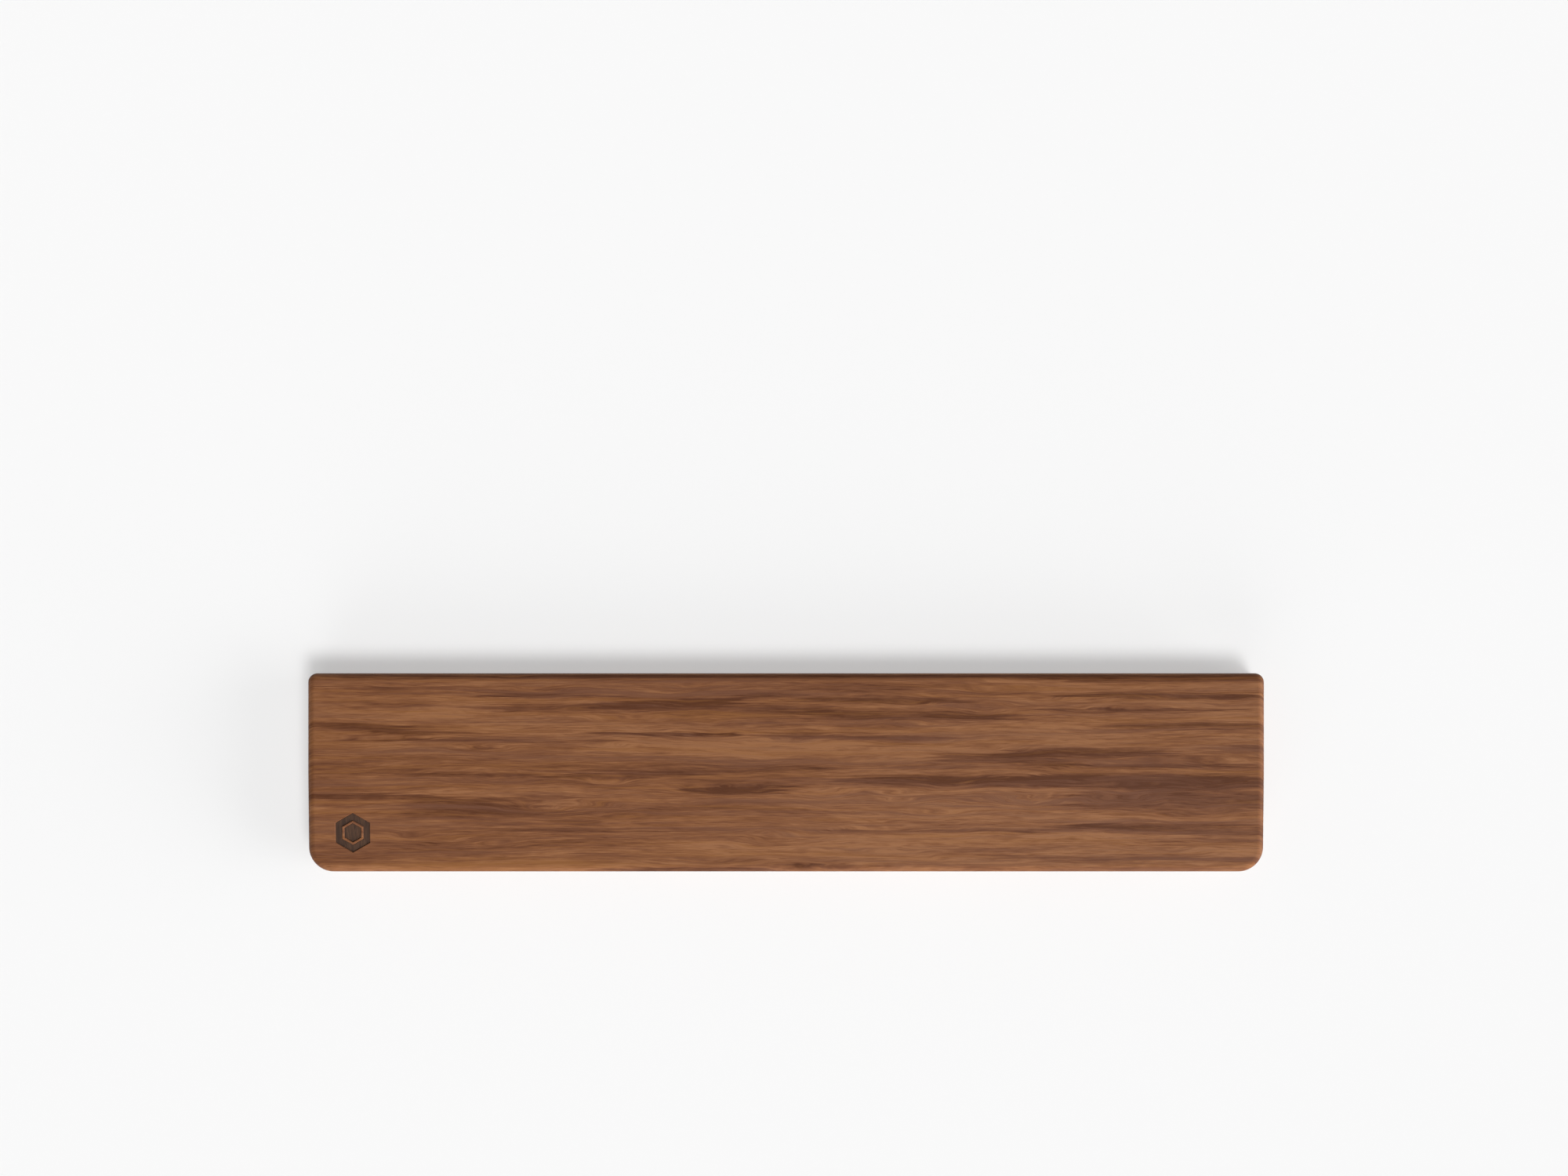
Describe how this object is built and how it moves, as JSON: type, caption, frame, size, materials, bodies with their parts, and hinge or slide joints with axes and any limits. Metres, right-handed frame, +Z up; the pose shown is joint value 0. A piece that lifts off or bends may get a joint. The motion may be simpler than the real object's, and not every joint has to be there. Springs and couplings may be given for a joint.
{
  "type": "wrist rest",
  "caption": "Long low solid walnut wrist rest for a keyboard, flat at the back and sloping gently to a rounded front, with a dark inlaid mark and rubber feet.",
  "frame": {"origin": "on the desk, under the middle of the plan outline", "axes": "+X along the length, +Y towards the keyboard, -Y towards the user, +Z up"},
  "size_m": [0.381, 0.0793, 0.019],
  "materials": {
    "walnut": "satin, fine open grain along the length",
    "dark_inlay_wood": "matt, grain across the block",
    "foot_rubber": "matt",
    "adhesive": "translucent acrylic adhesive film"
  },
  "bodies": {
    "root": {"wood_block": "walnut", "mark_inlay_ring": "dark_inlay_wood", "mark_inlay_core": "dark_inlay_wood", "foot_1": "foot_rubber", "foot_2": "foot_rubber", "foot_3": "foot_rubber", "foot_4": "foot_rubber", "foot_5": "foot_rubber", "foot_6": "foot_rubber", "foot_adhesive_1": "adhesive", "foot_adhesive_2": "adhesive", "foot_adhesive_3": "adhesive", "foot_adhesive_4": "adhesive", "foot_adhesive_5": "adhesive", "foot_adhesive_6": "adhesive"}
  },
  "joints": []
}
